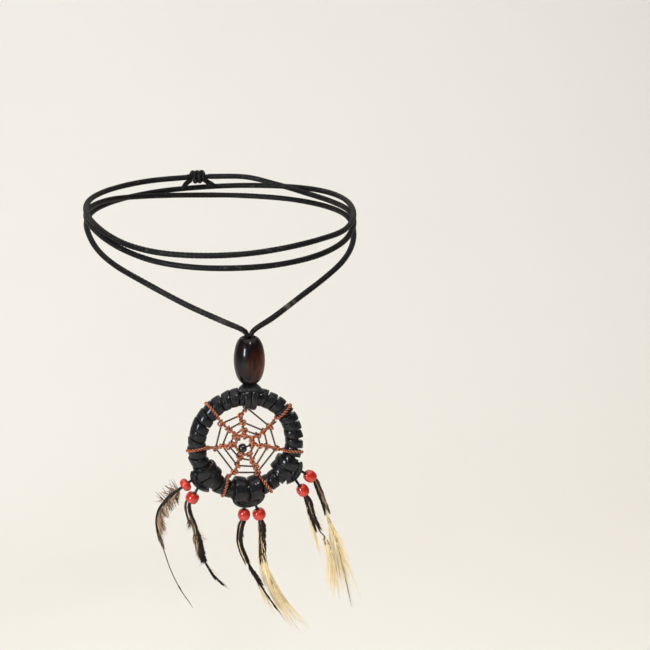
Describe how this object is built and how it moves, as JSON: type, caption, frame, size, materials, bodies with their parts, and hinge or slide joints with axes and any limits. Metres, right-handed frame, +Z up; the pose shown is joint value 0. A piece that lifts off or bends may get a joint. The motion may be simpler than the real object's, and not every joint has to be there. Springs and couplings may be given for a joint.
{
  "type": "dream catcher",
  "caption": "Small dream catcher: leather-wrapped hoop with a knotted thread web, beads and feathers, hung under an oval wooden bead on a long cord wound round a cylinder.",
  "frame": {"origin": "centre of the wound cord loops, on the axis of the cylinder or neck that they go round", "axes": "+Z up, the pendant hangs in front at -Y, +X to the right seen from the front"},
  "size_m": [0.106, 0.1184, 0.1577],
  "materials": {
    "black_cord": "waxed, soft sheen",
    "dark_wood": "glossy varnish",
    "black_leather": "smooth charcoal grain side with brown cut edges",
    "willow": "bare",
    "waxed_thread": "waxed, two-ply twist",
    "black_glass": "polished, opaque",
    "red_glass": "polished, opaque",
    "tan_feather": "soft barbs",
    "dark_feather": "soft barbs with tan edges",
    "pale_feather": "long cream fibres"
  },
  "bodies": {
    "neck_cord": {"neck_cord_left": "black_cord", "neck_cord_right": "black_cord", "closing_knot": "black_cord"},
    "drop_cord": {"drop_cord_left": "black_cord", "drop_cord_right": "black_cord"},
    "wood_bead": {"wood_bead": "dark_wood"},
    "hoop_hitch": {"hoop_hitch": "black_leather"},
    "hoop": {"hoop_core": "willow", "leather_wrap": "black_leather", "web_thread": "waxed_thread", "tie_left": "black_leather", "tie_middle": "black_leather", "tie_right": "black_leather"},
    "web_bead": {"web_bead": "black_glass"},
    "strand_left_outer": {"thong_left_outer": "black_leather", "red_bead_left_outer": "red_glass", "feather_left_outer": "tan_feather"},
    "strand_left_inner": {"thong_left_inner": "black_leather", "red_bead_left_inner": "red_glass", "feather_left_inner": "dark_feather"},
    "strand_middle_left": {"thong_middle_left": "black_leather", "red_bead_middle_left": "red_glass", "feather_middle_left": "dark_feather"},
    "strand_middle_right": {"thong_middle_right": "black_leather", "red_bead_middle_right": "red_glass", "feather_middle_right": "pale_feather"},
    "strand_right_inner": {"thong_right_inner": "black_leather", "red_bead_right_inner": "red_glass", "feather_right_inner": "pale_feather"},
    "strand_right_outer": {"thong_right_outer": "black_leather", "red_bead_right_outer": "red_glass", "feather_right_outer": "pale_feather"}
  },
  "joints": [
    {"name": "pendant_sway", "type": "hinge", "parent": "neck_cord", "child": "drop_cord", "pos_m": [0, -0.057, -0.0282], "axis": [0, 1, 0], "range_deg": [-22, 22]},
    {"name": "bead_spin", "type": "hinge", "parent": "drop_cord", "child": "wood_bead", "pos_m": [0, -0.057, -0.0378], "axis": [0, 0, 1], "continuous": true},
    {"name": "hoop_twist", "type": "hinge", "parent": "drop_cord", "child": "hoop_hitch", "pos_m": [0, -0.057, -0.0466], "axis": [0, 0, 1], "range_deg": [-90, 90]},
    {"name": "hoop_nod", "type": "hinge", "parent": "hoop_hitch", "child": "hoop", "pos_m": [0, -0.057, -0.05205], "axis": [0.9952, 0, -0.0976], "range_deg": [-60, 35]},
    {"name": "web_bead_spin", "type": "hinge", "parent": "hoop", "child": "web_bead", "pos_m": [-0.00292, -0.057, -0.07209], "axis": [-0.9617, 0, -0.2741], "continuous": true},
    {"name": "swing_left_outer", "type": "hinge", "parent": "hoop", "child": "strand_left_outer", "pos_m": [-0.02249, -0.057, -0.08336], "axis": [1, 0, 0], "range_deg": [-60, 60]},
    {"name": "swing_left_inner", "type": "hinge", "parent": "hoop", "child": "strand_left_inner", "pos_m": [-0.02009, -0.057, -0.08646], "axis": [1, 0, 0], "range_deg": [-60, 60]},
    {"name": "swing_middle_left", "type": "hinge", "parent": "hoop", "child": "strand_middle_left", "pos_m": [-0.00249, -0.057, -0.09476], "axis": [1, 0, 0], "range_deg": [-60, 60]},
    {"name": "swing_middle_right", "type": "hinge", "parent": "hoop", "child": "strand_middle_right", "pos_m": [0.00161, -0.057, -0.09456], "axis": [1, 0, 0], "range_deg": [-60, 60]},
    {"name": "swing_right_inner", "type": "hinge", "parent": "hoop", "child": "strand_right_inner", "pos_m": [0.01701, -0.057, -0.08606], "axis": [1, 0, 0], "range_deg": [-60, 60]},
    {"name": "swing_right_outer", "type": "hinge", "parent": "hoop", "child": "strand_right_outer", "pos_m": [0.01921, -0.057, -0.08286], "axis": [1, 0, 0], "range_deg": [-60, 60]}
  ]
}
